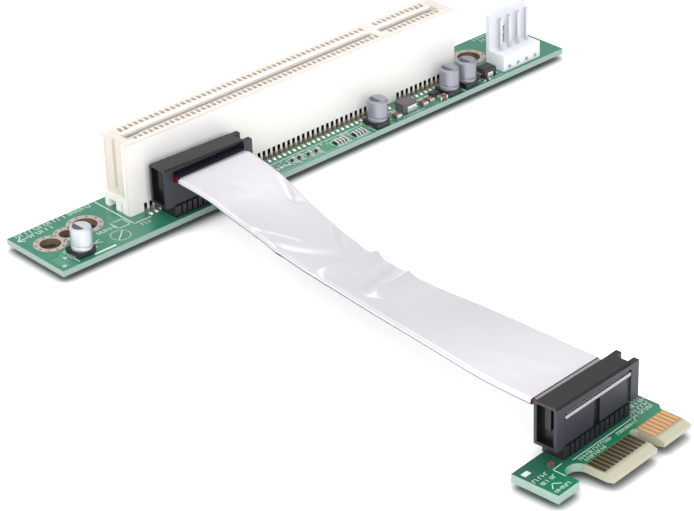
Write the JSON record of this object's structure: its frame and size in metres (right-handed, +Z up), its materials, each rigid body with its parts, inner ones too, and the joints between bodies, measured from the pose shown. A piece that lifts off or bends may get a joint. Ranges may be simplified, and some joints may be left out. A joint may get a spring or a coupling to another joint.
{
  "type": "bus adapter riser",
  "caption": "Flexible bus riser: slim green board with a long keyed card slot and a power header, joined by a foil-wrapped flat cable to a small edge card with plated fingers.",
  "frame": {"origin": "midway between the two screw holes of the long board, on its underside", "axes": "+X along the card slot towards the power header, +Y away from the small card, +Z up out of the slot"},
  "size_m": [0.1301, 0.1311, 0.0171],
  "materials": {
    "riser_mask": "satin",
    "card_mask": "satin",
    "ring_plating": "satin",
    "slot_plastic": "satin",
    "contact_tin": "satin",
    "power_plastic": "satin",
    "pin_tin": "polished",
    "can_metal": "brushed",
    "can_base": "satin",
    "end_tin": "satin",
    "moulded_black": "matt",
    "choke_grey": "matt",
    "capacitor_brown": "satin",
    "connector_black": "satin",
    "blade_metal": "satin",
    "finger_gold": "satin",
    "cable_grey": "satin",
    "cable_red": "satin",
    "foil_silver": "satin"
  },
  "bodies": {
    "root": {"riser_board": "riser_mask", "edge_card": "card_mask", "hole_rings": "ring_plating", "slot_housing": "slot_plastic", "slot_contacts_front": "contact_tin", "slot_contacts_rear": "contact_tin", "power_housing": "power_plastic", "power_pins": "pin_tin", "riser_header_pins": "pin_tin", "card_header_pins": "pin_tin", "capacitor_cans": "can_metal", "capacitor_bases": "can_base", "capacitor_leads": "end_tin", "diode_tabs": "end_tin", "choke_tabs": "end_tin", "small_ic_legs": "end_tin", "chip_capacitor_ends": "end_tin", "chip_resistor_ends": "end_tin", "resistor_array_ends": "end_tin", "diode_body": "moulded_black", "small_ic": "moulded_black", "chip_resistors": "moulded_black", "resistor_arrays": "moulded_black", "choke_body": "choke_grey", "chip_capacitors": "capacitor_brown", "riser_header": "connector_black", "riser_socket": "connector_black", "riser_socket_cover": "connector_black", "card_header": "connector_black", "card_socket": "connector_black", "card_socket_cover": "connector_black", "riser_socket_blades": "blade_metal", "card_socket_blades": "blade_metal", "edge_fingers_top": "finger_gold", "edge_fingers_bottom": "finger_gold", "cable_wires": "cable_grey", "cable_marker": "cable_red", "foil_wrap": "foil_silver"}
  },
  "joints": []
}
